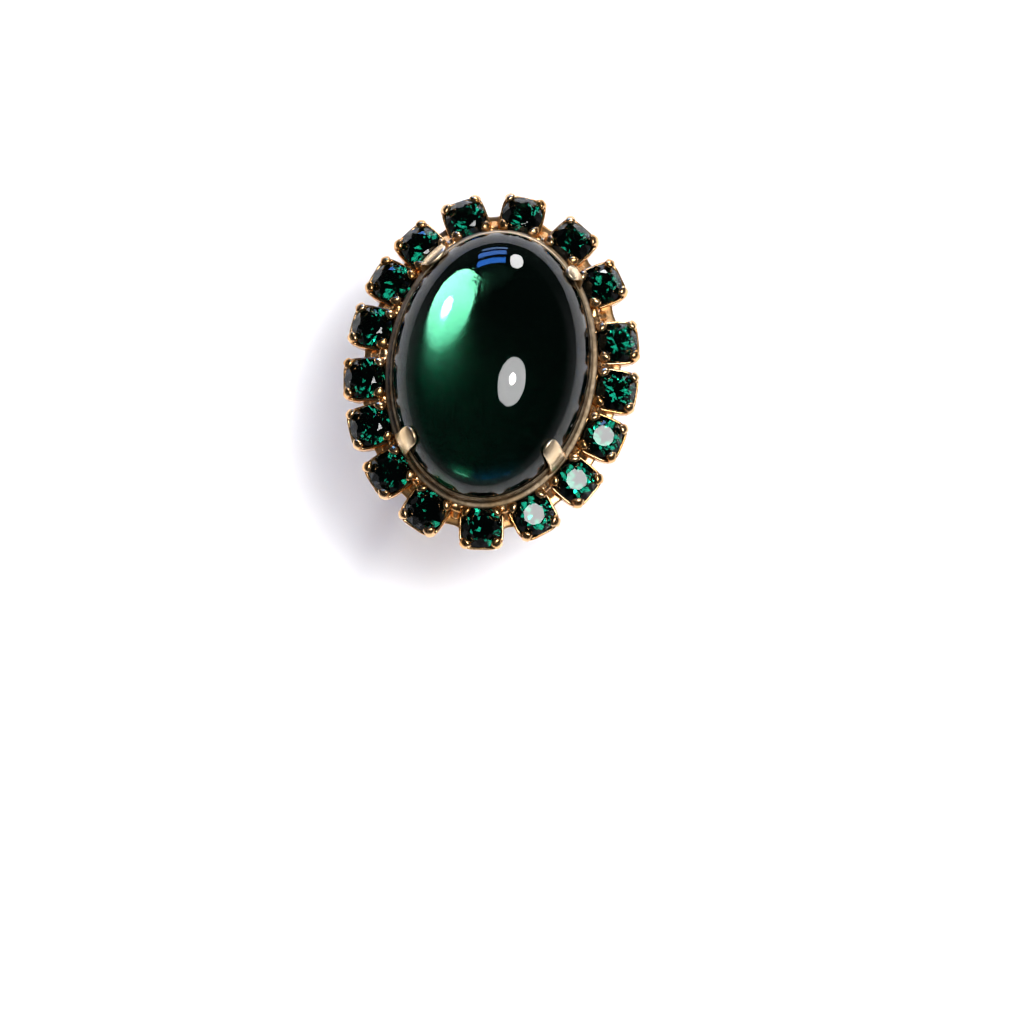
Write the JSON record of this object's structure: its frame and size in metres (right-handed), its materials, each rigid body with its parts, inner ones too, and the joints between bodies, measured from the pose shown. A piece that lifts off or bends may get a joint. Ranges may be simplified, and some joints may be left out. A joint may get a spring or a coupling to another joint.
{
  "type": "cocktail ring",
  "caption": "Adjustable finger ring with a large oval domed glass stone in a claw cup, framed by a halo of small round faceted stones in four-prong cups.",
  "frame": {"origin": "centre of the finger hole, on its axis, midway across the band", "axes": "+Y along the finger towards its tip and along the head's long axis, +Z from the finger out through the head, +X to the right when the head is seen with the fingertip up"},
  "size_m": [0.0276, 0.0344, 0.0291],
  "materials": {
    "gold_plate": "warm rose-gold plate, polished and lightly worn",
    "cup_gold": "paler gold plate, satin from handling",
    "foil": "bright green-lacquered foil",
    "cabochon_glass": "polished deep green moulded glass",
    "chaton_glass": "machine-cut emerald green glass with foiled back"
  },
  "bodies": {
    "head": {"shank_bridge": "gold_plate", "back_plate": "gold_plate", "gallery_collar": "gold_plate", "cabochon_cup": "cup_gold", "cabochon_foil": "foil", "cabochon": "cabochon_glass", "stone_cup_01": "gold_plate", "stone_cup_02": "gold_plate", "stone_cup_03": "gold_plate", "stone_cup_04": "gold_plate", "stone_cup_05": "gold_plate", "stone_cup_06": "gold_plate", "stone_cup_07": "gold_plate", "stone_cup_08": "gold_plate", "stone_cup_09": "gold_plate", "stone_cup_10": "gold_plate", "stone_cup_11": "gold_plate", "stone_cup_12": "gold_plate", "stone_cup_13": "gold_plate", "stone_cup_14": "gold_plate", "stone_cup_15": "gold_plate", "stone_cup_16": "gold_plate", "stone_cup_17": "gold_plate", "rhinestone_01": "chaton_glass", "rhinestone_02": "chaton_glass", "rhinestone_03": "chaton_glass", "rhinestone_04": "chaton_glass", "rhinestone_05": "chaton_glass", "rhinestone_06": "chaton_glass", "rhinestone_07": "chaton_glass", "rhinestone_08": "chaton_glass", "rhinestone_09": "chaton_glass", "rhinestone_10": "chaton_glass", "rhinestone_11": "chaton_glass", "rhinestone_12": "chaton_glass", "rhinestone_13": "chaton_glass", "rhinestone_14": "chaton_glass", "rhinestone_15": "chaton_glass", "rhinestone_16": "chaton_glass", "rhinestone_17": "chaton_glass", "chain_link_01": "gold_plate", "chain_link_02": "gold_plate", "chain_link_03": "gold_plate", "chain_link_04": "gold_plate", "chain_link_05": "gold_plate", "chain_link_06": "gold_plate", "chain_link_07": "gold_plate", "chain_link_08": "gold_plate", "chain_link_09": "gold_plate", "chain_link_10": "gold_plate", "chain_link_11": "gold_plate", "chain_link_12": "gold_plate", "chain_link_13": "gold_plate", "chain_link_14": "gold_plate", "chain_link_15": "gold_plate", "chain_link_16": "gold_plate", "chain_link_17": "gold_plate"},
    "arm_left": {"shank_arm_left": "gold_plate"},
    "arm_right": {"shank_arm_right": "gold_plate"}
  },
  "joints": [
    {"name": "left_arm_bend", "type": "hinge", "parent": "head", "child": "arm_left", "pos_m": [-0.00643, 0, 0.00643], "axis": [0, 1, 0], "range_deg": [-3, 8]},
    {"name": "right_arm_bend", "type": "hinge", "parent": "head", "child": "arm_right", "pos_m": [0.00643, 0, 0.00643], "axis": [0, -1, 0], "range_deg": [-3, 8]}
  ]
}
